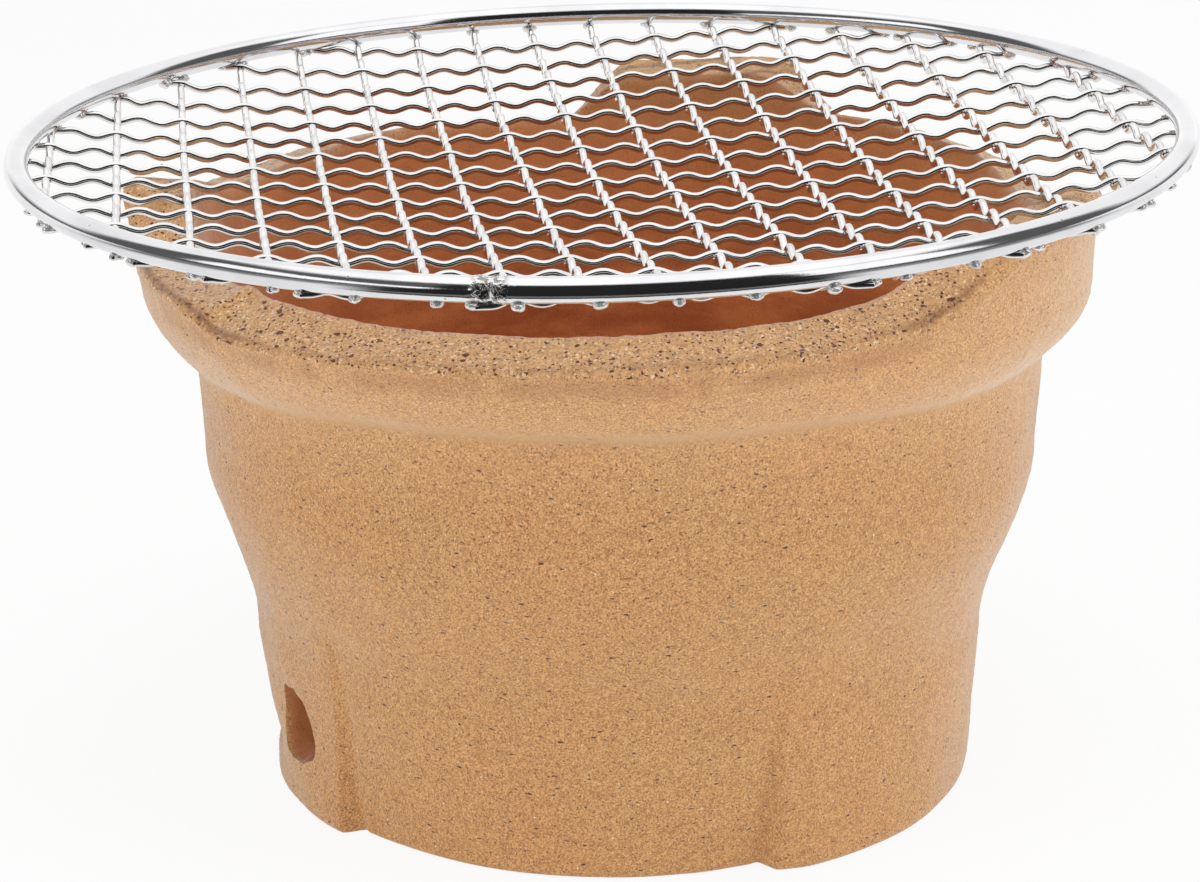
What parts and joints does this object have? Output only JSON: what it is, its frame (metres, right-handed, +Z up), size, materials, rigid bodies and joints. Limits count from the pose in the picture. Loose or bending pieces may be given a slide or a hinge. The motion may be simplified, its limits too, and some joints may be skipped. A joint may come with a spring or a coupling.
{
  "type": "charcoal brazier",
  "caption": "Round unglazed clay charcoal brazier with lobes on its rim, air holes in its foot, a loose fire grate inside and a lift-off round net of crimped steel wires.",
  "frame": {"origin": "on the clay body's axis, in the plane that it stands on", "axes": "+Z up along the clay body's axis; -Y towards the viewer in the picture, +X to the viewer's right. The net's ring lies 4 mm to the left of the axis and leans a little, as it rests in the picture."},
  "size_m": [0.24, 0.24, 0.1398],
  "materials": {
    "body_clay": "unglazed sandy clay with fine grog, matte",
    "grate_clay": "unglazed red-brown fired clay, matte",
    "ring_steel": "polished steel bar",
    "wire_steel": "polished crimped steel wire"
  },
  "bodies": {
    "brazier": {"brazier_body": "body_clay"},
    "grate": {"fire_grate": "grate_clay"},
    "net": {"net_ring": "ring_steel", "long_wire_01": "wire_steel", "long_wire_02": "wire_steel", "long_wire_03": "wire_steel", "long_wire_04": "wire_steel", "long_wire_05": "wire_steel", "long_wire_06": "wire_steel", "long_wire_07": "wire_steel", "long_wire_08": "wire_steel", "long_wire_09": "wire_steel", "long_wire_10": "wire_steel", "long_wire_11": "wire_steel", "long_wire_12": "wire_steel", "long_wire_13": "wire_steel", "long_wire_14": "wire_steel", "long_wire_15": "wire_steel", "long_wire_16": "wire_steel", "long_wire_17": "wire_steel", "cross_wire_01": "wire_steel", "cross_wire_02": "wire_steel", "cross_wire_03": "wire_steel", "cross_wire_04": "wire_steel", "cross_wire_05": "wire_steel", "cross_wire_06": "wire_steel", "cross_wire_07": "wire_steel", "cross_wire_08": "wire_steel", "cross_wire_09": "wire_steel", "cross_wire_10": "wire_steel", "cross_wire_11": "wire_steel", "cross_wire_12": "wire_steel", "cross_wire_13": "wire_steel", "cross_wire_14": "wire_steel", "cross_wire_15": "wire_steel", "cross_wire_16": "wire_steel", "cross_wire_17": "wire_steel"}
  },
  "joints": [
    {"name": "net_lift", "type": "slide", "parent": "brazier", "child": "net", "axis": [0, 0, 1], "range_m": [0, 0.18]},
    {"name": "grate_lift", "type": "slide", "parent": "brazier", "child": "grate", "axis": [0, 0, 1], "range_m": [0, 0.1]}
  ],
  "couplings": [
    {"joint": "grate_lift", "follows": "net_lift", "ratio": 0.55}
  ]
}
